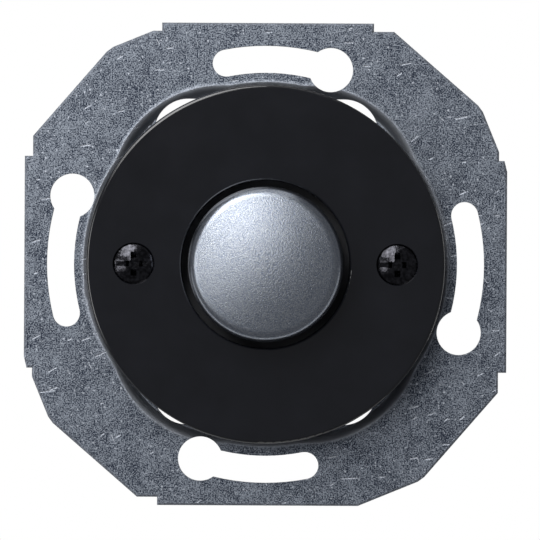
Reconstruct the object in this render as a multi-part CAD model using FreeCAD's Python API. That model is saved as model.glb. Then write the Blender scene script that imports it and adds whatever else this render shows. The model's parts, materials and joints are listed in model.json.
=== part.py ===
# Flush-mounted push button light switch, without its wall frame.
# A pressed steel carrier plate screws to the wall box and holds a moulded base behind it.
# A round black cover disc stands in front of the plate on two screws, and a domed metal
# button comes through it. Pressing the button drives a contact bridge off its two resting
# contacts and onto its two working contacts, and a coil spring sends it back.
#
# Millimetres. X runs to the right, Z up and Y into the wall, so the button faces -Y.
# The origin is the centre of the carrier plate in the wall plane, which is its rear face.
import FreeCAD, Part
import math
import os

V = FreeCAD.Vector

# Button: hollow metal cap on a moulded plunger
TRAVEL = 2.4
CAP_RADIUS = 11.2
CAP_WALL = 1.1
CAP_RISE = 7.2
CAP_SINK = 3.2
CAP_DOME_RADIUS = 24.0
CAP_SHOULDER = 2.0
CAP_BORE_DEPTH = 7.6
CAP_EDGE = 0.3
PLUNGER_FIT = 0.08
PLUNGER_HEAD = 1.6
PLUNGER_RIM_WALL = 1.2
PLUNGER_RIM_DEPTH = 3.6
STEM_RADIUS = 3.2
STEM_FIT = 0.05
STEM_PAST_GUIDE = 2.0
STOP_STEP = 1.1
STOP_GAP = 0.05
PIN_RADIUS = 1.9
PIN_END = 1.6

# Springs
RETURN_WIRE = 0.8
RETURN_TURNS = 5.0
RETURN_CLEARANCE = 0.5
CONTACT_WIRE = 0.5
CONTACT_TURNS = 2.5
CONTACT_CLEARANCE = 0.5
CONTACT_SPRING_LENGTH = 4.0
SPRING_END_GAP = 0.05

# Contacts: a bridge between resting strips in front of it and working strips behind it
CONTACT_X = 8.0
STRIP_WIDTH = 4.0
STRIP_THICK = 0.8
STRIP_OVERLAP = 2.5
STRIP_SEAT = 1.4
STRIP_BEND = 1.0
RISER_INSET = 3.0
TIP_RADIUS = 1.4
TIP_THICK = 0.8
TIP_SHANK_RADIUS = 0.8
TIP_EDGE = 0.2
OVERTRAVEL = 0.6
TOUCH_GAP = 0.02
BRIDGE_THICK = 0.8
BRIDGE_WIDTH = 4.8
BRIDGE_END = 2.6
BRIDGE_HOLE_CLEARANCE = 0.15
BRIDGE_GUIDE_LENGTH = 1.6
BRIDGE_GUIDE_THICK = 1.4
BRIDGE_GUIDE_CLEARANCE = 0.15
BRIDGE_GUIDE_ROOM = 0.5
CLIP_REACH = 1.5
CLIP_THICK = 0.6
CLIP_GROOVE_DEPTH = 0.45
CLIP_GROOVE_FIT = 0.03
CLIP_MOUTH = 2.4

# Terminals: a brass block with a wire bore and a clamping screw, one to each corner
TERMINAL_OFFSET = 1.0
BLOCK_WIDTH = 6.8
BLOCK_FRONT = 6.0
BLOCK_DEPTH = 7.4
BLOCK_WEB = 1.0
BLOCK_EDGE = 0.4
WIRE_RADIUS = 1.8
WIRE_DEPTH = 5.2
WIRE_INSET = 3.2
CLAMP_HEAD_RADIUS = 2.6
CLAMP_HEAD_HEIGHT = 2.0
CLAMP_HEAD_EDGE = 0.4
CLAMP_STAND_OFF = 1.4
CLAMP_RADIUS = 1.7

# Moulded base behind the plate, built round the chamber, the pockets and the spring well
SIDE_WALL = 4.8
END_WALL = 1.8
BASE_CORNER = 6.0
BASE_SET_BACK = 0.3
BRIDGE_ROOM = 0.8
CHAMBER_HEIGHT = 13.2
CHANNEL_LENGTH = 6.6
WELL_CLEARANCE = 0.8
WELL_FLOOR = 3.0
WELL_BOTTOM = 2.0
GUIDE_WALL = 1.6
GUIDE_LENGTH = 2.0
POCKET_CLEARANCE = 0.2
CHANNEL_CLEARANCE = 0.1
WIRE_ENTRY_CLEARANCE = 0.6
ACCESS_CLEARANCE = 0.3
WIRE_FUNNEL = 0.8
RELIEF_DEPTH = 0.8
RELIEF_NEAR = 5.0
RELIEF_END = 2.0
RELIEF_CORNER = 1.2
WING_SIDE = 4.4
WING_END = 4.5
WING_THICK = 3.0
WING_CORNER = 4.0

# Rear cover of the base, with the ribs that hold the contacts and terminals down
PAD_LENGTH = 2.0
COVER_THICK = 2.0
COVER_EDGE = 0.6
COVER_STEP = 0.15
PANEL_DEPTH = 0.5
PANEL_SCREW_GAP = 1.0
PANEL_END = 3.0
PANEL_CORNER = 3.0
GAUGE_LENGTH = 11.0
GAUGE_WIDTH = 1.8
GAUGE_DEPTH = 0.4
RIB_THICK = 1.4
RIB_CLEARANCE = 0.1
COVER_SCREW_HEAD = 2.3
COVER_SCREW_HEAD_HEIGHT = 1.4
COVER_SCREW_RADIUS = 1.1
COVER_SCREW_LENGTH = 9.0
COVER_SCREW_CLEARANCE = 0.25
COVER_CROSS_DEPTH = 1.05
COVER_CROSS_REACH = 1.4
PILOT_CLEARANCE = 0.05
PILOT_PAST_TIP = 1.0

# Carrier plate: outline, with the stepped and cut corners that repeat every quarter turn
PLATE_THICK = 1.2
SLOT_EDGE = 3.3
SHOULDER = 15.7
SHOULDER_DEPTH = 1.2
LEDGE_END = 18.65
CORNER_LOW_INSET = (11.9, 4.3)
CORNER_HIGH_INSET = (12.85, 3.6)
SLOPE_ANGLE = 22.3
NICK_START = 15.3
NICK_RISE = 0.8
EDGE_ROLL = 0.5

# Carrier plate: four curved keyhole slots for the wall box screws
SLOT_CIRCLE = 60.0
SLOT_WIDTH = 4.0
KEYHOLE_RADIUS = 3.25
SIDE_SLOT_TAIL = 14.0
SIDE_SLOT_HEAD = 19.25
END_SLOT_TAIL = 11.3
END_SLOT_HEAD = 18.3

# Carrier plate: opening round the base, and the recess that bulges out round its four corners
OPENING_SIDE_GAP = 0.25
OPENING_TOP_GAP = 1.65
OPENING_BOTTOM_GAP = 0.95
OPENING_CORNER = 5.0
RECESS_DEPTH = 1.5
RECESS_LEDGE = 2.3
RECESS_LEAN = 30.0
BULGE_RADIUS = 16.0
BULGE_SIDE_OFFSET = 5.05
BULGE_END_OFFSET = 9.2
BULGE_BLEND = 6.0
RIM_BEND = 1.6
FOOT_BEND = 0.45

# Cover disc and the two screws that hold it to the plate
DISC_RADIUS = 26.0
DISC_THICK = 4.0
FRAME_GAP = 1.8
DISC_EDGE = 0.45
BUTTON_GAP = 1.0
HOLE_EDGE = 0.3
HUB_WALL = 1.8
HUB_DEPTH = 1.4
SCREW_INSET = 2.65
BOSS_RADIUS = 3.4
SCREW_HEAD_RADIUS = 2.95
SCREW_SHANK_RADIUS = 1.45
SCREW_POINT = 0.5
SCREW_DOME = 0.9
SCREW_REACH = 11.0
SINK_LEAD = 0.15
SINK_CLEARANCE = 0.1
SHANK_CLEARANCE = 0.25
THREAD_CLEARANCE = 0.05
DRIVE_SLOT_WIDTH = 0.7
DRIVE_SLOT_DEPTH = 0.65
CROSS_WIDTH = 0.85
CROSS_REACH = 1.75
CROSS_FLOOR = 0.7
CROSS_DEPTH = 1.6
TAPPED_WALL = 0.8
TAPPED_LENGTH = 1.9

# Rivets between plate and base
RIVET_PAST_SCREW = 1.2
RIVET_Z = 8.5
RIVET_RADIUS = 1.2
RIVET_HEAD_RADIUS = 2.1
RIVET_HEAD_HEIGHT = 0.6
RIVET_CLEARANCE = 0.05

# Across the switch, from the plunger out to the edge of the plate
CAP_BORE_RADIUS = CAP_RADIUS - CAP_WALL
DISC_HOLE_RADIUS = CAP_RADIUS + BUTTON_GAP
HUB_RADIUS = STEM_RADIUS + STOP_STEP
RETURN_COIL_RADIUS = HUB_RADIUS + RETURN_CLEARANCE + RETURN_WIRE / 2
WELL_RADIUS = RETURN_COIL_RADIUS + RETURN_WIRE / 2 + WELL_CLEARANCE
CONTACT_COIL_RADIUS = PIN_RADIUS + CONTACT_CLEARANCE + CONTACT_WIRE / 2
CLIP_RADIUS = PIN_RADIUS + CLIP_REACH
CLIP_GROOVE_RADIUS = PIN_RADIUS - CLIP_GROOVE_DEPTH
BRIDGE_GUIDE_END = CONTACT_X - STRIP_WIDTH / 2 - BRIDGE_GUIDE_ROOM
BRIDGE_HALF_LENGTH = CONTACT_X + BRIDGE_END
TERMINAL_X = CONTACT_X + TERMINAL_OFFSET
CHAMBER_WIDTH = 2 * (BRIDGE_HALF_LENGTH + BRIDGE_ROOM)
BASE_WIDTH = CHAMBER_WIDTH + 2 * SIDE_WALL
COVER_SCREW_X = (CHAMBER_WIDTH + SIDE_WALL) / 2
OPENING_WIDTH = BASE_WIDTH + 2 * OPENING_SIDE_GAP
SCREW_PITCH = OPENING_WIDTH + 2 * SCREW_INSET
RIVET_X = SCREW_PITCH / 2 + RIVET_PAST_SCREW
WING_WIDTH = SCREW_PITCH + 2 * WING_SIDE
WING_HEIGHT = 2 * (RIVET_Z + WING_END)

# Up the switch, from its middle to the edge of the plate
BLOCK_NEAR = CHAMBER_HEIGHT / 2 + CHANNEL_LENGTH
BLOCK_FAR = BLOCK_NEAR + STRIP_SEAT + BLOCK_WEB + WIRE_DEPTH
TERMINAL_SCREW_Z = BLOCK_FAR - WIRE_DEPTH / 2
RISER_Z = BLOCK_NEAR - RISER_INSET
BASE_HEIGHT = 2 * (BLOCK_FAR + END_WALL)
OPENING_HEIGHT = BASE_HEIGHT + OPENING_TOP_GAP + OPENING_BOTTOM_GAP
OPENING_RISE = (OPENING_TOP_GAP - OPENING_BOTTOM_GAP) / 2
RECESS_RADIUS = OPENING_HEIGHT / 2 + RECESS_LEDGE
BULGE_X = OPENING_WIDTH / 2 - OPENING_CORNER - BULGE_SIDE_OFFSET
BULGE_Z = OPENING_HEIGHT / 2 - OPENING_CORNER - BULGE_END_OFFSET
PLATE_SIZE = SLOT_CIRCLE + SLOT_WIDTH + 2 * SLOT_EDGE

# Depths, from the front of the switch to its rear
PLATE_FRONT = -PLATE_THICK
FLOOR_REAR = RECESS_DEPTH
FLOOR_FRONT = RECESS_DEPTH - PLATE_THICK
DISC_REAR = PLATE_FRONT - FRAME_GAP
DISC_FRONT = DISC_REAR - DISC_THICK
CAP_TOP = DISC_FRONT - CAP_RISE
CAP_SKIRT = DISC_FRONT + CAP_SINK
CAP_SEAT = CAP_SKIRT - CAP_BORE_DEPTH
HEAD_REAR = CAP_SEAT + PLUNGER_HEAD
BASE_FRONT = FLOOR_FRONT + BASE_SET_BACK
WING_REAR = FLOOR_REAR + WING_THICK
CHAMBER_FRONT = WELL_FLOOR + WELL_BOTTOM
GUIDE_END = CHAMBER_FRONT + GUIDE_LENGTH
BLOCK_REAR = BLOCK_FRONT + BLOCK_DEPTH
WIRE_Y = BLOCK_REAR - WIRE_INSET
CLAMP_TIP = WIRE_Y - WIRE_RADIUS - STOP_GAP

# Depths of the contact stack: resting strips, bridge, working strips, rear cover
CONTACT_GAP = TRAVEL - OVERTRAVEL
PIN_FRONT = GUIDE_END + STEM_PAST_GUIDE
BRIDGE_FRONT = PIN_FRONT + CONTACT_SPRING_LENGTH
BRIDGE_REAR = BRIDGE_FRONT + BRIDGE_THICK
REST_TIP_REAR = BRIDGE_FRONT - TIP_THICK - TOUCH_GAP
REST_STRIP_REAR = REST_TIP_REAR - TIP_THICK
REST_STRIP_FRONT = REST_STRIP_REAR - STRIP_THICK
WORK_TIP_FRONT = BRIDGE_REAR + TIP_THICK + CONTACT_GAP + TOUCH_GAP
WORK_STRIP_FRONT = WORK_TIP_FRONT + TIP_THICK
WORK_STRIP_REAR = WORK_STRIP_FRONT + STRIP_THICK
BASE_REAR = WORK_STRIP_REAR + PAD_LENGTH
COVER_REAR = BASE_REAR + COVER_THICK

LEFT_RIGHT = (("left", -1), ("right", 1))
TOP_BOTTOM = (("top", 1), ("bottom", -1))


def rod(radius, y_start, y_end, x=0.0, z=0.0):
    """A round bar along Y."""
    return Part.makeCylinder(radius, y_end - y_start, V(x, y_start, z), V(0, 1, 0))


def block(x_range, y_range, z_range):
    """A square-cornered block between the given limits, in either order."""
    (x0, x1), (y0, y1), (z0, z1) = (sorted(r) for r in (x_range, y_range, z_range))
    return Part.makeBox(x1 - x0, y1 - y0, z1 - z0, V(x0, y0, z0))


def closed_face(steps, place):
    """A face round the points in steps. A pair of points is an arc through the first to the second."""
    start = place(steps[0])
    here = start
    edges = []
    for step in steps[1:]:
        if isinstance(step[0], tuple):
            through, end = place(step[0]), place(step[1])
            edges.append(Part.Arc(here, through, end).toShape())
        else:
            end = place(step)
            edges.append(Part.makeLine(here, end))
        here = end
    if here.distanceToPoint(start) > 1e-6:
        edges.append(Part.makeLine(here, start))
    return Part.Face(Part.Wire(edges))


def upright(y):
    """Places a plan point (x, z) in the upright plane at depth y."""
    return lambda point: V(point[0], y, point[1])


def slab(steps, y_start, y_end):
    """An outline in the XZ plane given depth."""
    return closed_face(steps, upright(y_start)).extrude(V(0, y_end - y_start, 0))


def turned(steps, x=0.0, z=0.0):
    """A solid turned about a Y axis from a half section of (radius, y) points."""
    face = closed_face(steps, lambda point: V(x + point[0], point[1], z))
    return face.revolve(V(x, 0, z), V(0, 1, 0), 360)


def polar(radius, clockwise_deg):
    """A plan point at an angle clockwise from the top, as seen from the room."""
    angle = math.radians(clockwise_deg)
    return (radius * math.sin(angle), radius * math.cos(angle))


def rounded_rectangle(width, height, corner):
    """Steps round a centred rectangle with round corners."""
    half_w, half_h = width / 2, height / 2
    inner_w, inner_h = half_w - corner, half_h - corner
    diagonal = corner * math.sqrt(0.5)
    steps = [(-inner_w, half_h), (inner_w, half_h)]
    for sx, sz, end in (
        (1, 1, (half_w, inner_h)),
        (1, -1, (inner_w, -half_h)),
        (-1, -1, (-half_w, -inner_h)),
        (-1, 1, (-inner_w, half_h)),
    ):
        through = (sx * (inner_w + diagonal), sz * (inner_h + diagonal))
        steps.append((through, end))
        if sz * sx > 0:
            steps.append((end[0], -end[1]))
        elif sx > 0:
            steps.append((-end[0], end[1]))
    return steps


def edges_at_depth(shape, y, inside=None, outside=None):
    """The edges of shape that lie at depth y, between two distances from the Y axis."""
    found = []
    for edge in shape.Edges:
        ends = [vertex.Point for vertex in edge.Vertexes]
        middle = edge.valueAt((edge.FirstParameter + edge.LastParameter) / 2)
        if any(abs(point.y - y) > 1e-4 for point in ends + [middle]):
            continue
        distance = math.hypot(middle.x, middle.z)
        if inside is not None and distance > inside:
            continue
        if outside is not None and distance < outside:
            continue
        found.append(edge)
    return found


def coil_spring(coil_radius, wire, active_turns, y_start, y_end):
    """A compression spring with closed ends, as half turns that meet square to the plane z = 0.

    The first and last half turns lie flat, and their neighbours climb by one wire.
    """
    closing = wire + SPRING_END_GAP
    half_turns = round(2 * active_turns)
    climb = (y_end - y_start - wire - 2 * closing) / half_turns
    y, side = y_start + wire / 2, 1
    coil = None
    for rise in [0, closing] + half_turns * [climb] + [closing, 0]:
        centre = V(0, y + rise / 2, 0)
        to_start = V(side * coil_radius, -rise / 2, 0)
        way = V(0, 0, side)
        section = Part.Face(Part.Wire(Part.makeCircle(wire / 2, centre + to_start, way)))
        half_turn = section.revolve(centre, to_start.cross(way), 180)
        coil = half_turn if coil is None else coil.fuse(half_turn)
        y, side = y + rise, -side
    return coil


def return_spring():
    """Spring between the plunger's head and the floor of the spring well."""
    return coil_spring(RETURN_COIL_RADIUS, RETURN_WIRE, RETURN_TURNS, HEAD_REAR, WELL_FLOOR)


def contact_spring():
    """Spring between the plunger's stem and the contact bridge."""
    return coil_spring(CONTACT_COIL_RADIUS, CONTACT_WIRE, CONTACT_TURNS, PIN_FRONT, BRIDGE_FRONT)


def corner_steps(style):
    """One corner of the plate, as (out from the last edge, along it) points going clockwise."""
    half = PLATE_SIZE / 2
    ledge = half - SHOULDER_DEPTH
    run_per_rise = 1 / math.tan(math.radians(SLOPE_ANGLE))
    low = tuple(half - inset for inset in CORNER_LOW_INSET)
    high = tuple(half - inset for inset in CORNER_HIGH_INSET)
    slope_out, slope_along = high
    meets_ledge = slope_out - (ledge - slope_along) * run_per_rise
    meets_edge = slope_out - (half - slope_along) * run_per_rise
    steps = [(half, SHOULDER), (ledge, SHOULDER), (ledge, LEDGE_END), low, high]
    if style == "square nick":
        steps += [(meets_ledge, ledge), (NICK_START, ledge), (NICK_START, half)]
    elif style == "bevelled nick":
        steps += [(meets_ledge, ledge), (NICK_START, ledge)]
        steps += [(NICK_START, ledge + NICK_RISE), (meets_edge, half)]
    else:
        steps += [(meets_edge, half)]
    return steps


def plate_outline():
    """The plate's outline, clockwise from its left edge."""
    corners = (
        ("square nick", (-1, 0), (0, 1)),
        ("bevelled nick", (0, 1), (1, 0)),
        ("plain", (1, 0), (0, -1)),
        ("bevelled nick", (0, -1), (-1, 0)),
    )
    steps = []
    for style, out, along in corners:
        for a, b in corner_steps(style):
            steps.append((out[0] * a + along[0] * b, out[1] * a + along[1] * b))
    return steps


def recess_outline(offset):
    """The recess outline moved outwards by offset: tangent arcs of four bulges, blends and a circle."""
    ring = RECESS_RADIUS + offset
    bulge = BULGE_RADIUS + offset
    blend_from_axis = RECESS_RADIUS + BULGE_BLEND
    blend_from_bulge = BULGE_RADIUS + BULGE_BLEND
    from_axis = math.hypot(BULGE_X, BULGE_Z)
    squares = from_axis**2 + blend_from_axis**2 - blend_from_bulge**2
    swing = math.degrees(math.acos(squares / (2 * from_axis * blend_from_axis)))
    turn = math.degrees(math.atan2(BULGE_X, BULGE_Z))

    def toward(start, end, distance):
        length = math.hypot(end[0] - start[0], end[1] - start[1])
        return tuple(s + (e - s) * distance / length for s, e in zip(start, end))

    steps = []
    angles = (turn, 180 - turn, 180 + turn, 360 - turn)
    for index, angle in enumerate(angles):
        centre = polar(from_axis, angle)
        blend_in = polar(blend_from_axis, angle - swing)
        blend_out = polar(blend_from_axis, angle + swing)
        ring_in = polar(ring, angle - swing)
        ring_out = polar(ring, angle + swing)
        bulge_in = toward(centre, blend_in, bulge)
        bulge_out = toward(centre, blend_out, bulge)
        blend = BULGE_BLEND - offset
        between_in = tuple((a + b) / 2 for a, b in zip(ring_in, bulge_in))
        between_out = tuple((a + b) / 2 for a, b in zip(ring_out, bulge_out))
        if index == 0:
            steps.append(ring_in)
        steps.append((toward(blend_in, between_in, blend), bulge_in))
        steps.append((polar(from_axis + bulge, angle), bulge_out))
        steps.append((toward(blend_out, between_out, blend), ring_out))
        next_angle = (angles[(index + 1) % 4] - swing) + (360 if index == 3 else 0)
        steps.append((polar(ring, (angle + swing + next_angle) / 2), polar(ring, next_angle)))
    return steps


def recess_solid(offset, y_start, y_end, y_rim):
    """A leaning-walled solid of the recess, whose wall meets the offset outline at depth y_rim."""
    wires = []
    for y in (y_start, y_end):
        shrink = (y - y_rim) * math.tan(math.radians(RECESS_LEAN))
        wires.append(closed_face(recess_outline(offset - shrink), upright(y)).OuterWire)
    return Part.makeLoft(wires, True, True)


def keyhole_slot(clock_deg, tail, head):
    """A curved slot about the plate's centre with a round screw-head entry at its clockwise end."""
    middle, half_width = SLOT_CIRCLE / 2, SLOT_WIDTH / 2
    start, end = clock_deg - tail, clock_deg + head
    y_start, y_end = PLATE_FRONT - 1, FLOOR_REAR + 1
    halfway = (start + end) / 2
    tail_centre = polar(middle, start)
    backwards = polar(half_width, start - 90)
    steps = [
        polar(middle - half_width, end),
        polar(middle + half_width, end),
        (polar(middle + half_width, halfway), polar(middle + half_width, start)),
        (
            (tail_centre[0] + backwards[0], tail_centre[1] + backwards[1]),
            polar(middle - half_width, start),
        ),
        (polar(middle - half_width, halfway), polar(middle - half_width, end)),
    ]
    x, z = polar(middle, end)
    return slab(steps, y_start, y_end).fuse(rod(KEYHOLE_RADIUS, y_start, y_end, x, z))


def rivet_hole(y_start, y_end, side, end):
    """The hole for one rivet between two depths."""
    return rod(RIVET_RADIUS + RIVET_CLEARANCE, y_start, y_end, side * RIVET_X, end * RIVET_Z)


def carrier_plate():
    """Galvanised sheet: cut outline, pressed recess, keyhole slots and two tapped screw holes."""
    sheet = slab(plate_outline(), PLATE_FRONT, 0)
    sheet = sheet.makeFillet(EDGE_ROLL, edges_at_depth(sheet, PLATE_FRONT))
    wall_across = PLATE_THICK / math.cos(math.radians(RECESS_LEAN))
    cup = recess_solid(wall_across, PLATE_FRONT / 2, FLOOR_REAR, PLATE_FRONT)
    hollow = recess_solid(0.0, PLATE_FRONT, FLOOR_FRONT, PLATE_FRONT)
    plate = sheet.fuse(cup).cut(hollow).removeSplitter()
    inside_slots = SLOT_CIRCLE / 2
    plate = plate.makeFillet(RIM_BEND, edges_at_depth(plate, PLATE_FRONT, inside=inside_slots))
    plate = plate.makeFillet(RIM_BEND, edges_at_depth(plate, FLOOR_REAR, inside=inside_slots))
    plate = plate.makeFillet(FOOT_BEND, edges_at_depth(plate, FLOOR_FRONT, inside=inside_slots))
    plate = plate.makeFillet(FOOT_BEND, edges_at_depth(plate, 0, inside=inside_slots))
    opening = slab(
        rounded_rectangle(OPENING_WIDTH, OPENING_HEIGHT, OPENING_CORNER), PLATE_FRONT, FLOOR_REAR + 1
    )
    tools = [opening.translated(V(0, 0, OPENING_RISE))]
    for clock_deg in (0, 180):
        tools.append(keyhole_slot(clock_deg, END_SLOT_TAIL, END_SLOT_HEAD))
    for clock_deg in (90, 270):
        tools.append(keyhole_slot(clock_deg, SIDE_SLOT_TAIL, SIDE_SLOT_HEAD))
    tapped_radius = SCREW_SHANK_RADIUS + THREAD_CLEARANCE
    for _, side in LEFT_RIGHT:
        x = side * SCREW_PITCH / 2
        tapped_end = FLOOR_REAR + TAPPED_LENGTH
        plate = plate.fuse(rod(tapped_radius + TAPPED_WALL, FLOOR_REAR, tapped_end, x))
        tools.append(rod(tapped_radius, FLOOR_FRONT - 1, tapped_end + 1, x))
        for _, end in TOP_BOTTOM:
            tools.append(rivet_hole(FLOOR_FRONT - 1, FLOOR_REAR + 1, side, end))
    return plate.cut(tools)


def cover_disc():
    """Moulded round cover with a hole for the button and two countersunk bosses behind."""
    profile = [
        (DISC_HOLE_RADIUS, DISC_FRONT),
        (DISC_RADIUS, DISC_FRONT),
        (DISC_RADIUS, DISC_REAR),
        (DISC_HOLE_RADIUS + HUB_WALL, DISC_REAR),
        (DISC_HOLE_RADIUS + HUB_WALL, DISC_REAR + HUB_DEPTH),
        (DISC_HOLE_RADIUS, DISC_REAR + HUB_DEPTH),
    ]
    disc = turned(profile)
    rim = edges_at_depth(disc, DISC_FRONT, outside=DISC_HOLE_RADIUS + 1)
    disc = disc.makeFillet(DISC_EDGE, rim)
    hole_rim = edges_at_depth(disc, DISC_FRONT, inside=DISC_HOLE_RADIUS + 1)
    disc = disc.makeFillet(HOLE_EDGE, hole_rim)
    disc = disc.makeChamfer(HOLE_EDGE, edges_at_depth(disc, DISC_REAR, outside=DISC_RADIUS - 1))
    hole = SCREW_SHANK_RADIUS + SHANK_CLEARANCE
    sink = SCREW_HEAD_RADIUS + SINK_CLEARANCE
    cone_top = DISC_FRONT + SINK_LEAD
    for _, side in LEFT_RIGHT:
        x = side * SCREW_PITCH / 2
        disc = disc.fuse(rod(BOSS_RADIUS, DISC_REAR - 1, FLOOR_FRONT, x))
        sink_profile = [
            (0, DISC_FRONT - 1),
            (sink, DISC_FRONT - 1),
            (sink, cone_top),
            (hole, cone_top + sink - hole),
            (hole, FLOOR_FRONT + 1),
            (0, FLOOR_FRONT + 1),
        ]
        disc = disc.cut(turned(sink_profile, x))
    return disc


def cover_screw(side):
    """Raised countersunk screw with a cross recess and a slot across its whole head."""
    x = side * SCREW_PITCH / 2
    rim = DISC_FRONT + SINK_LEAD + SINK_CLEARANCE
    top = rim - SCREW_DOME
    neck = rim + SCREW_HEAD_RADIUS - SCREW_SHANK_RADIUS
    tip = rim + SCREW_REACH
    dome_radius = (SCREW_HEAD_RADIUS**2 + SCREW_DOME**2) / (2 * SCREW_DOME)
    half_angle = math.asin(SCREW_HEAD_RADIUS / dome_radius) / 2
    through = (dome_radius * math.sin(half_angle), top + dome_radius * (1 - math.cos(half_angle)))
    profile = [
        (0, top),
        (through, (SCREW_HEAD_RADIUS, rim)),
        (SCREW_SHANK_RADIUS, neck),
        (SCREW_SHANK_RADIUS, tip - SCREW_POINT),
        (SCREW_SHANK_RADIUS - SCREW_POINT, tip),
        (0, tip),
    ]
    screw = turned(profile, x)
    drive = [
        block(
            (x - SCREW_HEAD_RADIUS, x + SCREW_HEAD_RADIUS),
            (top - 1, top + DRIVE_SLOT_DEPTH),
            (-DRIVE_SLOT_WIDTH / 2, DRIVE_SLOT_WIDTH / 2),
        )
    ]
    floor = top + CROSS_DEPTH
    taper = [(-CROSS_REACH, top - 1), (CROSS_REACH, top - 1), (CROSS_REACH, top)]
    taper += [(CROSS_FLOOR, floor), (-CROSS_FLOOR, floor), (-CROSS_REACH, top)]
    across = closed_face(taper, lambda point: V(x + point[0], point[1], -CROSS_WIDTH / 2))
    upward = closed_face(taper, lambda point: V(x - CROSS_WIDTH / 2, point[1], point[0]))
    drive.append(across.extrude(V(0, 0, CROSS_WIDTH)))
    drive.append(upward.extrude(V(CROSS_WIDTH, 0, 0)))
    return screw.cut(drive)


def button_cap():
    """Domed metal cap turned from bar, bored out from behind."""
    wall_top = CAP_TOP + CAP_DOME_RADIUS - math.sqrt(CAP_DOME_RADIUS**2 - CAP_RADIUS**2)
    half_angle = math.asin(CAP_RADIUS / CAP_DOME_RADIUS) / 2
    sink = CAP_DOME_RADIUS * (1 - math.cos(half_angle))
    through = (CAP_DOME_RADIUS * math.sin(half_angle), CAP_TOP + sink)
    profile = [
        (0, CAP_TOP),
        (through, (CAP_RADIUS, wall_top)),
        (CAP_RADIUS, CAP_SKIRT),
        (CAP_BORE_RADIUS, CAP_SKIRT),
        (CAP_BORE_RADIUS, CAP_SEAT),
        (0, CAP_SEAT),
    ]
    cap = turned(profile)
    cap = cap.makeFillet(CAP_SHOULDER, edges_at_depth(cap, wall_top, outside=CAP_RADIUS - 1))
    return cap.makeChamfer(CAP_EDGE, edges_at_depth(cap, CAP_SKIRT, outside=CAP_RADIUS - CAP_EDGE))


def plunger():
    """Moulded plunger: a rimmed head inside the cap, a stop hub, a guided stem and the bridge pin."""
    head = CAP_BORE_RADIUS - PLUNGER_FIT
    hub_end = WELL_FLOOR - TRAVEL - STOP_GAP
    pin_end = BRIDGE_REAR + CLIP_THICK + PIN_END
    profile = [
        (0, CAP_SEAT),
        (head, CAP_SEAT),
        (head, HEAD_REAR + PLUNGER_RIM_DEPTH),
        (head - PLUNGER_RIM_WALL, HEAD_REAR + PLUNGER_RIM_DEPTH),
        (head - PLUNGER_RIM_WALL, HEAD_REAR),
        (HUB_RADIUS, HEAD_REAR),
        (HUB_RADIUS, hub_end),
        (STEM_RADIUS, hub_end),
        (STEM_RADIUS, PIN_FRONT),
        (PIN_RADIUS, PIN_FRONT),
        (PIN_RADIUS, BRIDGE_REAR),
        (CLIP_GROOVE_RADIUS, BRIDGE_REAR),
        (CLIP_GROOVE_RADIUS, BRIDGE_REAR + CLIP_THICK),
        (PIN_RADIUS, BRIDGE_REAR + CLIP_THICK),
        (PIN_RADIUS, pin_end),
        (0, pin_end),
    ]
    shaft = turned(profile)
    return shaft.makeChamfer(CAP_EDGE, edges_at_depth(shaft, pin_end))


def bridge_clip():
    """E-shaped spring clip in the groove behind the contact bridge."""
    groove = CLIP_GROOVE_RADIUS + CLIP_GROOVE_FIT
    rear = BRIDGE_REAR + CLIP_THICK
    clip = rod(CLIP_RADIUS, BRIDGE_REAR, rear).cut(rod(groove, BRIDGE_REAR, rear))
    relief = (CLIP_RADIUS + groove) / 2
    for angle in (-45, 45):
        x, z = polar(relief, angle)
        clip = clip.cut(rod((CLIP_RADIUS - groove) / 4, BRIDGE_REAR, rear, x, z))
    mouth = block((-CLIP_MOUTH / 2, CLIP_MOUTH / 2), (BRIDGE_REAR, rear), (-CLIP_RADIUS, 0))
    return clip.cut(mouth)


def contact_bridge():
    """Round-ended strip with a hole for the plunger pin and two for its contact rivets."""
    half_width = BRIDGE_WIDTH / 2
    straight = BRIDGE_HALF_LENGTH - half_width
    strip = block((-straight, straight), (BRIDGE_FRONT, BRIDGE_REAR), (-half_width, half_width))
    tools = [rod(PIN_RADIUS + BRIDGE_HOLE_CLEARANCE, BRIDGE_FRONT, BRIDGE_REAR)]
    for _, side in LEFT_RIGHT:
        strip = strip.fuse(rod(half_width, BRIDGE_FRONT, BRIDGE_REAR, side * straight))
        tools.append(rod(TIP_SHANK_RADIUS, BRIDGE_FRONT, BRIDGE_REAR, side * CONTACT_X))
    return strip.removeSplitter().cut(tools)


def moving_contact(side):
    """Silver rivet through the bridge, with a contact face in front and behind."""
    front, rear = BRIDGE_FRONT - TIP_THICK, BRIDGE_REAR + TIP_THICK
    profile = [
        (0, front),
        (TIP_RADIUS - TIP_EDGE, front),
        (TIP_RADIUS, front + TIP_EDGE),
        (TIP_RADIUS, BRIDGE_FRONT),
        (TIP_SHANK_RADIUS, BRIDGE_FRONT),
        (TIP_SHANK_RADIUS, BRIDGE_REAR),
        (TIP_RADIUS, BRIDGE_REAR),
        (TIP_RADIUS, rear - TIP_EDGE),
        (TIP_RADIUS - TIP_EDGE, rear),
        (0, rear),
    ]
    return turned(profile, side * CONTACT_X)


def fixed_contact(side, face_y, strip_y, shank_y):
    """Silver rivet in a fixed strip: its face at face_y, its seat at strip_y, its shank to shank_y."""
    way = 1 if strip_y > face_y else -1
    profile = [
        (0, face_y),
        (TIP_RADIUS - TIP_EDGE, face_y),
        (TIP_RADIUS, face_y + way * TIP_EDGE),
        (TIP_RADIUS, strip_y),
        (TIP_SHANK_RADIUS, strip_y),
        (TIP_SHANK_RADIUS, shank_y),
        (0, shank_y),
    ]
    return turned(profile, side * CONTACT_X)


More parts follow.
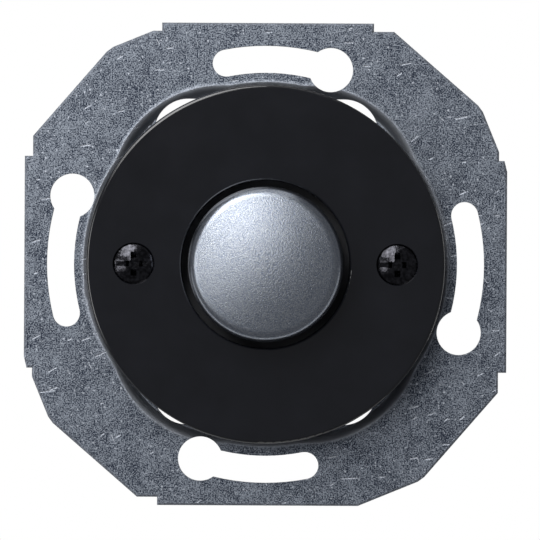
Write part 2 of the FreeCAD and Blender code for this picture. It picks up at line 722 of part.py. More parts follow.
def strip_from(steps, side):
    """A contact strip of the given side view, (z, y) points, pierced for its contact rivet."""
    x = side * CONTACT_X - STRIP_WIDTH / 2
    face = closed_face(steps, lambda point: V(x, point[1], point[0]))
    strip = face.extrude(V(STRIP_WIDTH, 0, 0))
    return strip.cut(rod(TIP_SHANK_RADIUS, CHAMBER_FRONT, BASE_REAR, side * CONTACT_X))


def rest_strip(side):
    """Flat strip from the resting contact up into its terminal block."""
    far = BLOCK_NEAR + STRIP_SEAT
    steps = [
        (-STRIP_OVERLAP, REST_STRIP_FRONT),
        (far, REST_STRIP_FRONT),
        (far, REST_STRIP_REAR),
        (-STRIP_OVERLAP, REST_STRIP_REAR),
    ]
    return strip_from(steps, side)


def work_strip(side):
    """Strip from the working contact, bent forward and down into its terminal block."""
    outer = STRIP_BEND + STRIP_THICK
    far = -(BLOCK_NEAR + STRIP_SEAT)
    riser = -RISER_Z
    slant = math.sqrt(0.5)
    steps = [
        (STRIP_OVERLAP, WORK_STRIP_FRONT),
        (riser + outer, WORK_STRIP_FRONT),
        (
            (riser + outer - STRIP_BEND * slant, WORK_STRIP_FRONT - STRIP_BEND * (1 - slant)),
            (riser + STRIP_THICK, WORK_STRIP_FRONT - STRIP_BEND),
        ),
        (riser + STRIP_THICK, REST_STRIP_FRONT + outer),
        (
            (riser + STRIP_THICK - outer * (1 - slant), REST_STRIP_FRONT + outer * (1 - slant)),
            (riser + STRIP_THICK - outer, REST_STRIP_FRONT),
        ),
        (far, REST_STRIP_FRONT),
        (far, REST_STRIP_REAR),
        (riser - STRIP_BEND, REST_STRIP_REAR),
        (
            (riser - STRIP_BEND * (1 - slant), REST_STRIP_REAR + STRIP_BEND * (1 - slant)),
            (riser, REST_STRIP_REAR + STRIP_BEND),
        ),
        (riser, WORK_STRIP_REAR - outer),
        (
            (riser + outer * (1 - slant), WORK_STRIP_REAR - outer * (1 - slant)),
            (riser + outer, WORK_STRIP_REAR),
        ),
        (STRIP_OVERLAP, WORK_STRIP_REAR),
    ]
    return strip_from(steps, side)


def terminal_block(side, end):
    """Brass block with a blind wire bore, a threaded hole for the clamp and a slot for its strip."""
    x = side * TERMINAL_X
    body = block(
        (x - BLOCK_WIDTH / 2, x + BLOCK_WIDTH / 2),
        (BLOCK_FRONT, BLOCK_REAR),
        (end * BLOCK_NEAR, end * BLOCK_FAR),
    )
    long_edges = [edge for edge in body.Edges if abs(edge.tangentAt(edge.FirstParameter).z) > 0.9]
    body = body.makeChamfer(BLOCK_EDGE, long_edges)
    bore_end = V(x, WIRE_Y, end * (BLOCK_FAR - WIRE_DEPTH))
    bore = Part.makeCylinder(WIRE_RADIUS, WIRE_DEPTH, bore_end, V(0, 0, end))
    thread = rod(CLAMP_RADIUS + THREAD_CLEARANCE, BLOCK_FRONT, WIRE_Y, x, end * TERMINAL_SCREW_Z)
    strip_x = side * CONTACT_X
    seat = block(
        (strip_x - STRIP_WIDTH / 2, strip_x + STRIP_WIDTH / 2),
        (REST_STRIP_FRONT, REST_STRIP_REAR),
        (end * BLOCK_NEAR, end * (BLOCK_NEAR + STRIP_SEAT)),
    )
    return body.cut([bore, thread, seat])


def terminal_screw(side, end):
    """Slotted clamping screw, its tip just clear of the wire bore."""
    x, z = side * TERMINAL_X, end * TERMINAL_SCREW_Z
    head_rear = BLOCK_FRONT - CLAMP_STAND_OFF
    head_front = head_rear - CLAMP_HEAD_HEIGHT
    profile = [
        (0, head_front),
        (CLAMP_HEAD_RADIUS - CLAMP_HEAD_EDGE, head_front),
        (CLAMP_HEAD_RADIUS, head_front + CLAMP_HEAD_EDGE),
        (CLAMP_HEAD_RADIUS, head_rear),
        (CLAMP_RADIUS, head_rear),
        (CLAMP_RADIUS, CLAMP_TIP),
        (0, CLAMP_TIP),
    ]
    slot = block(
        (x - CLAMP_HEAD_RADIUS, x + CLAMP_HEAD_RADIUS),
        (head_front - 1, head_front + CLAMP_HEAD_HEIGHT / 2),
        (z - DRIVE_SLOT_WIDTH / 2, z + DRIVE_SLOT_WIDTH / 2),
    )
    return turned(profile, x, z).cut(slot)


def switch_base():
    """Moulded base: spring well and plunger guide in front, chamber and pockets open behind."""
    base = slab(rounded_rectangle(BASE_WIDTH, BASE_HEIGHT, BASE_CORNER), BASE_FRONT, BASE_REAR)
    wing = rounded_rectangle(WING_WIDTH, WING_HEIGHT, WING_CORNER)
    base = base.fuse(slab(wing, FLOOR_REAR, WING_REAR))
    half_w, half_h = CHAMBER_WIDTH / 2, CHAMBER_HEIGHT / 2
    chamber = block((-half_w, half_w), (CHAMBER_FRONT, BASE_REAR), (-half_h, half_h))
    guide = rod(STEM_RADIUS + STEM_FIT + GUIDE_WALL, CHAMBER_FRONT, GUIDE_END)
    tools = [chamber.cut(guide), rod(WELL_RADIUS, BASE_FRONT, WELL_FLOOR)]
    tools.append(rod(STEM_RADIUS + STEM_FIT, BASE_FRONT, GUIDE_END))
    for _, side in LEFT_RIGHT:
        screw_way = SCREW_SHANK_RADIUS + THREAD_CLEARANCE + TAPPED_WALL + SHANK_CLEARANCE
        tools.append(rod(screw_way, FLOOR_REAR, WING_REAR, side * SCREW_PITCH / 2))
        pilot = COVER_SCREW_RADIUS + PILOT_CLEARANCE
        pilot_end = COVER_REAR - COVER_SCREW_LENGTH - PILOT_PAST_TIP
        tools.append(rod(pilot, pilot_end, BASE_REAR, side * COVER_SCREW_X))
        for _, end in TOP_BOTTOM:
            tools += base_corner_tools(side, end)
            tools.append(side_relief(side, end))
    base = base.removeSplitter().cut(tools)
    return base.fuse(bridge_guides()).removeSplitter()


def bridge_guides():
    """Four ribs in the contact chamber that keep the bridge square to its contacts."""
    inner_z = BRIDGE_WIDTH / 2 + BRIDGE_GUIDE_CLEARANCE
    rib_y = (CHAMBER_FRONT - GUIDE_WALL / 2, BRIDGE_REAR + CONTACT_GAP)
    ribs = []
    for _, side in LEFT_RIGHT:
        rib_x = (side * (BRIDGE_GUIDE_END - BRIDGE_GUIDE_LENGTH), side * BRIDGE_GUIDE_END)
        for _, end in TOP_BOTTOM:
            rib_z = (end * inner_z, end * (inner_z + BRIDGE_GUIDE_THICK))
            ribs.append(block(rib_x, rib_y, rib_z))
    return ribs


def base_corner_tools(side, end):
    """What is cut from one corner of the base: terminal pocket, strip channel, screw and wire ways in."""
    x = side * TERMINAL_X
    half_width = BLOCK_WIDTH / 2 + POCKET_CLEARANCE
    pocket = block(
        (x - half_width, x + half_width),
        (BLOCK_FRONT - POCKET_CLEARANCE, BASE_REAR),
        (end * (BLOCK_NEAR - POCKET_CLEARANCE), end * (BLOCK_FAR + POCKET_CLEARANCE)),
    )
    half_strip = STRIP_WIDTH / 2 + CHANNEL_CLEARANCE
    channel = block(
        (side * CONTACT_X - half_strip, side * CONTACT_X + half_strip),
        (REST_STRIP_FRONT, BASE_REAR),
        (end * CHAMBER_HEIGHT / 2, end * BLOCK_NEAR),
    )
    head_way = CLAMP_HEAD_RADIUS + ACCESS_CLEARANCE
    access = rod(head_way, BASE_FRONT, BLOCK_FRONT, x, end * TERMINAL_SCREW_Z)
    entry = WIRE_RADIUS + WIRE_ENTRY_CLEARANCE
    wire_way = Part.makeCylinder(entry, BASE_HEIGHT, V(x, WIRE_Y, end * BLOCK_FAR), V(0, 0, end))
    mouth = V(x, WIRE_Y, end * (BASE_HEIGHT / 2 - WIRE_FUNNEL))
    funnel = Part.makeCone(entry, entry + WIRE_FUNNEL, WIRE_FUNNEL, mouth, V(0, 0, end))
    return [pocket, channel, access, wire_way, funnel, rivet_hole(FLOOR_REAR, WING_REAR, side, end)]


def side_relief(side, end):
    """A shallow hollow in the outside of a side wall, between the cover screw and a corner."""
    relief = block(
        (side * (BASE_WIDTH / 2 - RELIEF_DEPTH), side * (BASE_WIDTH / 2 + RELIEF_DEPTH)),
        (WING_REAR + RELIEF_END, BASE_REAR - RELIEF_END),
        (end * RELIEF_NEAR, end * (BASE_HEIGHT / 2 - BASE_CORNER - RELIEF_END)),
    )
    across = [edge for edge in relief.Edges if abs(edge.tangentAt(edge.FirstParameter).x) > 0.9]
    return relief.makeFillet(RELIEF_CORNER, across)


def base_cover():
    """Rear cover: cross posts on the terminals, ribs on the rest strips, pads on the work strips."""
    width, height = BASE_WIDTH - 2 * COVER_STEP, BASE_HEIGHT - 2 * COVER_STEP
    outline = rounded_rectangle(width, height, BASE_CORNER - COVER_STEP)
    cover = slab(outline, BASE_REAR, COVER_REAR)
    cover = cover.makeChamfer(COVER_EDGE, edges_at_depth(cover, COVER_REAR))
    half_rib = RIB_THICK / 2
    inner_z = BLOCK_NEAR + RIB_CLEARANCE
    outer_z = BLOCK_FAR - RIB_CLEARANCE
    middle_z = (BLOCK_NEAR + BLOCK_FAR) / 2
    half_width = BLOCK_WIDTH / 2 - RIB_CLEARANCE
    pieces = []
    for _, side in LEFT_RIGHT:
        x = side * TERMINAL_X
        for _, end in TOP_BOTTOM:
            post_y = (BLOCK_REAR + RIB_CLEARANCE, BASE_REAR)
            pieces.append(block((x - half_rib, x + half_rib), post_y, (end * inner_z, end * outer_z)))
            cross_z = (end * middle_z - half_rib, end * middle_z + half_rib)
            pieces.append(block((x - half_width, x + half_width), post_y, cross_z))
        strip_x = side * CONTACT_X
        rib_x = (strip_x - half_rib, strip_x + half_rib)
        rib_z = (CHAMBER_HEIGHT / 2 + RIB_CLEARANCE, BLOCK_NEAR - STRIP_BEND)
        pieces.append(block(rib_x, (REST_STRIP_REAR, BASE_REAR), rib_z))
        pad_z = (-STRIP_OVERLAP, STRIP_OVERLAP)
        pad_x = (strip_x - STRIP_WIDTH / 2, strip_x + STRIP_WIDTH / 2)
        pieces.append(block(pad_x, (WORK_STRIP_REAR, BASE_REAR), pad_z))
    cover = cover.fuse(pieces).removeSplitter()
    for _, side in LEFT_RIGHT:
        hole = COVER_SCREW_RADIUS + COVER_SCREW_CLEARANCE
        cover = cover.cut(rod(hole, BASE_REAR, COVER_REAR, side * COVER_SCREW_X))
    return cover.cut(cover_hollows())


def cover_hollows():
    """What is sunk in the rear of the cover: a panel between the screws and a wire stripping gauge."""
    panel_width = 2 * (COVER_SCREW_X - COVER_SCREW_HEAD - PANEL_SCREW_GAP)
    panel = rounded_rectangle(panel_width, BASE_HEIGHT - 2 * PANEL_END, PANEL_CORNER)
    panel_floor = COVER_REAR - PANEL_DEPTH
    gauge = block(
        (-GAUGE_WIDTH / 2, GAUGE_WIDTH / 2),
        (panel_floor - GAUGE_DEPTH, COVER_REAR),
        (-GAUGE_LENGTH / 2, GAUGE_LENGTH / 2),
    )
    return [slab(panel, panel_floor, COVER_REAR), gauge]


def base_cover_screw(side):
    """Pan-head screw with a cross recess that holds the rear cover on."""
    x = side * COVER_SCREW_X
    seat = COVER_REAR
    top = seat + COVER_SCREW_HEAD_HEIGHT
    edge = COVER_SCREW_HEAD_HEIGHT / 2
    slant = math.sqrt(0.5)
    tip = seat - COVER_SCREW_LENGTH
    profile = [
        (0, top),
        (COVER_SCREW_HEAD - edge, top),
        (
            (COVER_SCREW_HEAD - edge * (1 - slant), top - edge * (1 - slant)),
            (COVER_SCREW_HEAD, top - edge),
        ),
        (COVER_SCREW_HEAD, seat),
        (COVER_SCREW_RADIUS, seat),
        (COVER_SCREW_RADIUS, tip + COVER_SCREW_RADIUS),
        (0, tip),
    ]
    reach, half_width = COVER_CROSS_REACH, CROSS_WIDTH / 2
    cross_y = (top - COVER_CROSS_DEPTH, top + 1)
    across = block((x - reach, x + reach), cross_y, (-half_width, half_width))
    upward = block((x - half_width, x + half_width), cross_y, (-reach, reach))
    return turned(profile, x).cut([across, upward])


def plate_rivet(side, end):
    """Steel rivet that clamps the plate's recess floor to the base's wing."""
    x, z = side * RIVET_X, end * RIVET_Z
    front, rear = FLOOR_FRONT - RIVET_HEAD_HEIGHT, WING_REAR + RIVET_HEAD_HEIGHT
    shoulder = RIVET_HEAD_RADIUS - RIVET_HEAD_HEIGHT / 2
    profile = [
        (0, front),
        (shoulder, front),
        (RIVET_HEAD_RADIUS, FLOOR_FRONT),
        (RIVET_RADIUS, FLOOR_FRONT),
        (RIVET_RADIUS, WING_REAR),
        (RIVET_HEAD_RADIUS, WING_REAR),
        (shoulder, rear),
        (0, rear),
    ]
    return turned(profile, x, z)


def build():
    """Every piece of the switch, by name."""
    made = {
        "carrier_plate": carrier_plate(),
        "cover_disc": cover_disc(),
        "button_cap": button_cap(),
        "plunger": plunger(),
        "return_spring": return_spring(),
        "contact_spring": contact_spring(),
        "bridge_clip": bridge_clip(),
        "contact_bridge": contact_bridge(),
        "switch_base": switch_base(),
        "base_cover": base_cover(),
    }
    for side_name, side in LEFT_RIGHT:
        made["cover_screw_" + side_name] = cover_screw(side)
        made["base_cover_screw_" + side_name] = base_cover_screw(side)
        made["moving_contact_" + side_name] = moving_contact(side)
        made["rest_strip_" + side_name] = rest_strip(side)
        made["work_strip_" + side_name] = work_strip(side)
        rest_depths = (REST_TIP_REAR, REST_STRIP_REAR, REST_STRIP_FRONT)
        work_depths = (WORK_TIP_FRONT, WORK_STRIP_FRONT, WORK_STRIP_REAR)
        made["rest_contact_" + side_name] = fixed_contact(side, *rest_depths)
        made["work_contact_" + side_name] = fixed_contact(side, *work_depths)
        for end_name, end in TOP_BOTTOM:
            corner = end_name + "_" + side_name
            made["terminal_block_" + corner] = terminal_block(side, end)
            made["terminal_screw_" + corner] = terminal_screw(side, end)
            made["plate_rivet_" + corner] = plate_rivet(side, end)
    return made


os.makedirs("parts", exist_ok=True)
for name, shape in build().items():
    solids = shape.Solids
    piece = solids[0] if len(solids) == 1 else shape
    piece.exportStep("parts/" + name + ".step")
    print(name, "solids", len(solids), "valid", shape.isValid(), "volume", round(shape.Volume, 2))
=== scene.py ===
import json
import math

import bmesh
import bpy
from bpy.props import FloatProperty, FloatVectorProperty, IntProperty, PointerProperty
from mathutils import Matrix, Vector


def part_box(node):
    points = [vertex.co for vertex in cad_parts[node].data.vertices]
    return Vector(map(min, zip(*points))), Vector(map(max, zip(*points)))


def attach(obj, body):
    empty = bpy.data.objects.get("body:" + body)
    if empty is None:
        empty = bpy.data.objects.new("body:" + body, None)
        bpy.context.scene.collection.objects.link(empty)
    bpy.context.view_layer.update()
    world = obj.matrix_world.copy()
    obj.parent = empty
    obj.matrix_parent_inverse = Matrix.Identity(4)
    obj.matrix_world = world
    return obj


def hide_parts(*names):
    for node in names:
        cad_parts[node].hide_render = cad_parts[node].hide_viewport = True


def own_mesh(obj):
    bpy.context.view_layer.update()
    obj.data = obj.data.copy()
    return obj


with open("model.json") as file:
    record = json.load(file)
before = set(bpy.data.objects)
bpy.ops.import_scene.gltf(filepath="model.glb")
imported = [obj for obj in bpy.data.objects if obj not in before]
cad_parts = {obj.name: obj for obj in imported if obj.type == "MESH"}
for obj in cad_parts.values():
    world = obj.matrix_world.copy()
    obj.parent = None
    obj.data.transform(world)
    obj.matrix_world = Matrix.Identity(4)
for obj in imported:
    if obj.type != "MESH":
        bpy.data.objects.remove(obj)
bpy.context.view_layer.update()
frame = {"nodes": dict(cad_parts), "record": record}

bl_info = {
    "name": "Push button light switch",
    "version": (1, 0, 0),
    "blender": (4, 5, 0),
    "location": "3D View > Sidebar > Push Button",
    "description": "Finishes and fine parts for a flush-mounted push button light switch",
    "category": "Object",
}

MM = 0.001
SIDES = ("left", "right")
TURN = 2 * math.pi

# Points nearer than this are one point, and points nearer a cut than this lie on it.
SAME_POINT = 0.1 * MM * MM
ON_CUT = MM * MM
# A point belongs to a shank's surface when it is off it by less than this share of its radius.
ON_SHANK = 0.01
# Edges that turn by more degrees than this stay sharp.
SHARP_CAP = 35
SHARP_SCREW = 32
SHARP_WIRE = 60
# Rings of faces over each rounded form, and in one pitch of a thread.
DOME_RINGS = 40
SHOULDER_RINGS = 24
RAISED_HEAD_RINGS = 16
PAN_HEAD_RINGS = 8
THREAD_RINGS = 8
# Pitch of a spring's closed end turns, as a share of the wire's thickness.
CLOSED_PITCH = 1.06

# The noises in the plate's zinc: size in millimetres, detail and roughness.
STEEL_GRAIN = (0.2, 1.0, 0.7)
STEEL_CLOUD = (4.0, 5.0, 0.65)
STEEL_CLUMP = (0.8, 1.0, 0.6)
STEEL_SPECK = (0.4, 0.0, 0.5)
# Handling marks on the plate: spacing, longest and width in millimetres, the share of places that hold
# one, and the least and most degrees that they lean.
STEEL_MARKS = (
    (4.0, 3.8, 0.26, 0.16, -5, 25),
    (2.4, 1.8, 0.26, 0.2, -5, 40),
    (3.2, 1.5, 0.24, 0.08, -70, -40),
)
# Distances from the plate's middle between which its outer edges begin.
STEEL_RIM = (30.5 * MM, 31.5 * MM)

# The stage, in metres.
FLOOR_WIDTH = 4.0
BACKDROP_WIDTH = 6.0
BACKDROP_HEIGHT = 4.0
LAMP_DISTANCE = 0.6
# Each lamp's degrees up from the switch's right, its degrees off the switch's axis, and its side.
LAMPS = {
    "key": (118, 50, 0.42),
    "side": (184, 46, 0.3),
    "fill": (126, 20, 0.16),
    "ceiling": (90, 82, 0.5),
}
# The room's light is faintly blue.
ROOM_TINT = (1.0, 1.02, 1.08)
WHITE = (1, 1, 1, 1)


def linear(hex_value):
    """A linear colour from an sRGB hex value."""
    channels = [int(hex_value[i : i + 2], 16) / 255 for i in (1, 3, 5)]
    return [c / 12.92 if c <= 0.04045 else ((c + 0.055) / 1.055) ** 2.4 for c in channels] + [1.0]


def length(name, description, mm):
    """A length property, given in millimetres."""
    return FloatProperty(name=name, description=description, default=mm * MM, unit="LENGTH", precision=5)


def count(name, description, number, least, most):
    """A whole number property, with its limits."""
    return IntProperty(name=name, description=description, default=number, min=least, max=most)


def number(name, description, value):
    """A property for a plain number that isn't below 0."""
    return FloatProperty(name=name, description=description, default=value, min=0.0)


def tint(name, description, hex_value):
    """A colour property, given as an sRGB hex value."""
    return FloatVectorProperty(
        name=name, description=description, default=linear(hex_value), size=4, subtype="COLOR"
    )


class SwitchColours(bpy.types.PropertyGroup):
    """The colours of the visible finishes"""

    steel_dark: tint("Steel, dark", "Dark grain of the plate", "#242c3c")
    steel_light: tint("Steel, light", "Pale grain of the plate", "#9aa1ab")
    # The pale colour of the marks and specks, and of the painted highlight on the plate's bends.
    steel_mark_and_highlight: tint("Steel, marks", "Marks, specks and bends of the plate", "#c4c9d2")
    disc_dark: tint("Disc, dark", "Darker parts of the cover disc", "#0f1014")
    disc_light: tint("Disc, light", "Lighter parts of the cover disc", "#131419")
    nickel_dark: tint("Button, dark", "Pits of the button's face", "#828b9a")
    nickel_light: tint("Button, light", "Ground between the pits", "#b2b6bc")
    screw_dark: tint("Screws, dark", "Black nickel of the screws", "#29292c")
    screw_light: tint("Screws, light", "Worn places on the screws", "#4a4a4f")


class SwitchButton(bpy.types.PropertyGroup):
    """The turned cap of the button"""

    crown: length("Crown", "Radius of the domed face", 24.0)
    shoulder: length("Shoulder", "Radius between the domed face and the side", 2.0)
    wall: length("Wall", "Thickness of the side", 1.1)
    bore: length("Bore", "Depth of the bore from the skirt", 7.6)
    edge: length("Edge", "Break at the skirt", 0.3)
    blasted: length("Blasted face", "Radius of the blasted face, inside the smoother shoulder", 9.9)
    steps: count("Steps", "Faces round the cap", 160, 32, 256)


class SwitchScrews(bpy.types.PropertyGroup):
    """The raised countersunk screws of the cover disc"""

    head: length("Head", "Radius of the head", 2.95)
    dome: length("Dome", "Rise of the head above its rim", 0.9)
    sink: length("Sink", "Depth of the rim below the face of the disc", 0.25)
    shank: length("Shank", "Radius over the thread", 1.45)
    pitch: length("Pitch", "Pitch of the thread", 0.5)
    thread: length("Thread", "Depth of the thread", 0.27)
    slot: length("Slot", "Width of the slot", 0.7)
    slot_depth: length("Slot depth", "Depth of the slot below the top", 0.65)
    cross: length("Cross", "Width of the cross recess", 0.85)
    reach: length("Reach", "Length of an arm of the cross at the surface", 1.75)
    floor_reach: length("Floor reach", "Length of an arm of the cross at its floor", 0.7)
    cross_depth: length("Cross depth", "Depth of the cross below the top", 1.6)
    steps: count("Steps", "Faces round a screw", 64, 24, 128)


class SwitchCoverScrews(bpy.types.PropertyGroup):
    """The pan-head screws of the rear cover"""

    head: length("Head", "Radius of the head", 2.3)
    height: length("Height", "Height of the head", 1.4)
    crown: length("Crown", "Rounding of the head's edge", 0.7)
    shank: length("Shank", "Radius over the thread", 1.1)
    pitch: length("Pitch", "Pitch of the thread", 0.8)
    thread: length("Thread", "Depth of the thread", 0.3)
    cross: length("Cross", "Width of the cross recess", 0.85)
    reach: length("Reach", "Length of an arm of the cross at the surface", 1.4)
    floor_reach: length("Floor reach", "Length of an arm of the cross at its floor", 0.6)
    cross_depth: length("Cross depth", "Depth of the cross below the top", 1.05)
    steps: count("Steps", "Faces round a screw", 48, 24, 128)


class SwitchSprings(bpy.types.PropertyGroup):
    """The return spring and the contact spring"""

    return_wire: length("Return wire", "Wire of the return spring", 0.8)
    return_turns: number("Return turns", "Active turns of the return spring", 5.0)
    contact_wire: length("Contact wire", "Wire of the contact spring", 0.5)
    contact_turns: number("Contact turns", "Active turns of the contact spring", 2.5)
    steps: count("Steps", "Sections in one turn", 48, 12, 96)
    sides: count("Sides", "Faces round the wire", 16, 8, 32)


class SwitchStudio(bpy.types.PropertyGroup):
    """Camera, floor and lamps"""

    view_width: length("View width", "Width that the camera sees at the plate's front", 78.95)
    distance: length("Distance", "From the camera to the plate's front", 600.0)
    centre: FloatVectorProperty(
        name="Centre",
        description="Middle of the view, right and up from the switch's axis",
        default=(0.66 * MM, -0.83 * MM),
        size=2,
        unit="LENGTH",
    )
    roll: FloatProperty(
        name="Roll", description="Turn of the view", default=math.radians(0.3), subtype="ANGLE"
    )
    drop: length("Drop", "Depth of the floor below the switch's axis", 200.0)
    room_depth: length("Room depth", "From the wall plane back to the backdrop", 1000.0)
    paper: tint("Paper", "Colour of the floor and the backdrop", "#d6d6d6")
    key: number("Key", "Radiance of the soft key lamp", 5.8)
    side: number("Side", "Radiance of the lamp on the left", 3.4)
    fill: number("Fill", "Radiance of the lamp near the camera", 5.7)
    ceiling: number("Ceiling", "Radiance of the lamp overhead", 0.6)
    world: number("World", "Radiance of the room", 0.15)


def per_mm(size):
    """The texture scale that draws one feature in each size millimetres."""
    return 1 / (size * MM)


def connect(tree, node, inputs):
    """Sets a node's inputs, in order or by name: a socket is linked, and anything else is a value."""
    for name, value in inputs.items() if isinstance(inputs, dict) else enumerate(inputs):
        if isinstance(value, bpy.types.NodeSocket):
            tree.links.new(value, node.inputs[name])
        else:
            node.inputs[name].default_value = value


def add(tree, kind, inputs=(), **settings):
    """Adds a node with its settings and inputs, and gives its outputs."""
    node = tree.nodes.new("ShaderNode" + kind)
    for name, value in settings.items():
        setattr(node, name, value)
    connect(tree, node, inputs)
    return node.outputs


def new_material(name):
    """A material with one Principled shader, and its object coordinates."""
    material = bpy.data.materials.new(name)
    material.use_nodes = True
    tree = material.node_tree
    shader = next(n for n in tree.nodes if n.type == "BSDF_PRINCIPLED")
    place = add(tree, "TexCoord")["Object"]
    return material, tree, shader, place


def scratches(tree, place, spacing, longest, width, share, low, high):
    """Straight marks on faces that look along Y: 1 on a mark.

    A share of cells of the given spacing hold one mark each, at an angle between low and high degrees.
    Spacing, longest and width are millimetres.
    """
    parts = add(tree, "SeparateXYZ", (place,))
    flat = add(tree, "CombineXYZ", (parts["X"], parts["Z"]))["Vector"]
    scaled = {"Vector": flat, "Scale": per_mm(spacing)}
    cells = add(tree, "VectorMath", scaled, operation="SCALE")["Vector"]
    scattered = {"Vector": cells, "Scale": 1.0, "Randomness": 0.7}
    cell = add(tree, "TexVoronoi", scattered, voronoi_dimensions="2D")
    chance = add(tree, "SeparateColor", (cell["Color"],))
    local = add(tree, "VectorMath", (cells, cell["Position"]), operation="SUBTRACT")["Vector"]
    angles = (chance["Green"], 0.0, 1.0, -math.radians(low), -math.radians(high))
    leaning = {"Vector": local, "Angle": add(tree, "MapRange", angles)["Result"]}
    turned = add(tree, "VectorRotate", leaning, rotation_type="Z_AXIS")["Vector"]
    along = add(tree, "SeparateXYZ", (turned,))
    lengths = (chance["Blue"], 0.0, 1.0, longest / spacing / 6, longest / spacing / 2)
    half_length = add(tree, "MapRange", lengths)["Result"]
    half_width = width / spacing / 2
    from_middle = add(tree, "Math", (along["X"],), operation="ABSOLUTE")[0]
    past_end = add(tree, "Math", (from_middle, half_length), operation="DIVIDE")[0]
    in_length = add(tree, "MapRange", (past_end, 0.6, 1.0, 1.0, 0.0))["Result"]
    from_line = add(tree, "Math", (along["Y"],), operation="ABSOLUTE")[0]
    in_width = add(tree, "MapRange", (from_line, half_width / 2, half_width, 1.0, 0.0))["Result"]
    mark = add(tree, "Math", (in_width, in_length), operation="MULTIPLY")[0]
    chosen = add(tree, "Math", (chance["Red"], share), operation="LESS_THAN")[0]
    return add(tree, "Math", (mark, chosen), operation="MULTIPLY")[0]


def from_axis(tree, place):
    """The distance from the Y axis."""
    parts = add(tree, "SeparateXYZ", (place,))
    flat = add(tree, "CombineXYZ", {"X": parts["X"], "Z": parts["Z"]})["Vector"]
    return add(tree, "VectorMath", (flat,), operation="LENGTH")["Value"]


def steel_form(tree, place):
    """What the die and the shears did to the sheet, read from the way that its faces point.

    Gives flat faces, bends and the sheared edges of the outline, each as 1 where they are, and a normal
    with a low lip before each bend. Square is the cosine of a face's tilt from the plate's front.
    """
    tilt = add(tree, "SeparateXYZ", (add(tree, "TexCoord")["Normal"],))
    square = add(tree, "Math", (tilt["Y"],), operation="ABSOLUTE")[0]
    flat = add(tree, "MapRange", (square, 0.93, 0.998))["Result"]
    bent = add(tree, "MapRange", (flat, 0.0, 1.0, 1.0, 0.0))["Result"]
    outside = add(tree, "MapRange", (from_axis(tree, place), *STEEL_RIM))["Result"]
    sheared = add(tree, "Math", (outside, bent), operation="MULTIPLY")[0]
    rising = add(tree, "MapRange", (square, 0.94, 0.975, 1.0, -0.9))["Result"]
    across = [add(tree, "Math", (tilt[axis], rising), operation="MULTIPLY")[0] for axis in ("X", "Z")]
    lip = add(tree, "CombineXYZ", (across[0], tilt["Y"], across[1]))["Vector"]
    return flat, bent, sheared, lip


def steel_marks(tree, place, grain):
    """The sheet's handling marks, which its grain breaks up in to chains of spots."""
    marks = 0.0
    for row in STEEL_MARKS:
        layer = scratches(tree, place, *row)
        marks = add(tree, "Math", (marks, layer), operation="MAXIMUM")[0]
    spots = add(tree, "MapRange", (grain, 0.42, 0.56, 0.45, 1.0))["Result"]
    return add(tree, "Math", (marks, spots), operation="MULTIPLY")[0]


def galvanised_steel():
    """Zinc-coated cold rolled sheet: cool grey with a salt and pepper grain and handling marks.

    Its bends are paler, partly from burnish by the die and partly as a painted highlight along each
    bend; its sheared outer edges get less of that paler colour, and are duller and matt.
    """
    material, tree, shader, place = new_material("galvanised_steel")
    colours = bpy.context.scene.switch_colours
    grain, cloud, clump, speck = (
        add(
            tree,
            "TexNoise",
            {"Vector": place, "Scale": per_mm(size), "Detail": detail, "Roughness": roughness},
        )["Fac"]
        for size, detail, roughness in (STEEL_GRAIN, STEEL_CLOUD, STEEL_CLUMP, STEEL_SPECK)
    )
    flat, bent, sheared, lip = steel_form(tree, place)
    marks = steel_marks(tree, place, grain)

    tone = grain
    for layer, share in ((cloud, 0.22), (clump, 0.2)):
        layer = add(tree, "Math", (layer, 0.5), operation="SUBTRACT")[0]
        layer = add(tree, "Math", (layer, share), operation="MULTIPLY")[0]
        tone = add(tree, "Math", (tone, layer), operation="ADD")[0]
    light = add(tree, "MapRange", (tone, 0.39, 0.61))["Result"]
    ground = {"Factor": light, "A": colours.steel_dark, "B": colours.steel_light}
    ground = add(tree, "Mix", ground, data_type="RGBA")["Result"]

    # Paler colour on the bends, partly burnish and partly a painted highlight, and less of it on the
    # sheared outer edges.
    dulled = add(tree, "Math", (sheared, 0.6), operation="MULTIPLY")[0]
    burnish_and_highlight = add(tree, "Math", (bent, 0.9), operation="MULTIPLY")[0]
    burnish_and_highlight = add(tree, "Math", (burnish_and_highlight, dulled), operation="SUBTRACT")[0]
    pale = add(tree, "MapRange", (speck, 0.7, 0.82))["Result"]
    for layer in (marks, burnish_and_highlight):
        pale = add(tree, "Math", (pale, layer), operation="MAXIMUM")[0]
    marked = {"Factor": pale, "A": ground, "B": colours.steel_mark_and_highlight}

    gloss = add(tree, "MapRange", (tone, 0.38, 0.62, 0.52, 0.58))["Result"]
    matt = add(tree, "Math", (sheared, 0.3), operation="MULTIPLY")[0]

    waves = add(tree, "Math", (cloud, 2.0), operation="MULTIPLY")[0]
    grit = add(tree, "Math", (grain, flat), operation="MULTIPLY")[0]
    waves = add(tree, "Math", (waves, grit), operation="ADD")[0]
    pressed = add(tree, "Math", (marks, 1.3), operation="MULTIPLY")[0]
    waves = add(tree, "Math", (waves, pressed), operation="SUBTRACT")[0]

    finish = {
        "Base Color": add(tree, "Mix", marked, data_type="RGBA")["Result"],
        "Roughness": add(tree, "Math", (gloss, matt), operation="ADD")[0],
        "Normal": add(tree, "Bump", {"Height": waves, "Distance": 0.03 * MM, "Normal": lip})["Normal"],
        "Metallic": 1.0,
    }
    connect(tree, shader, finish)
    return material


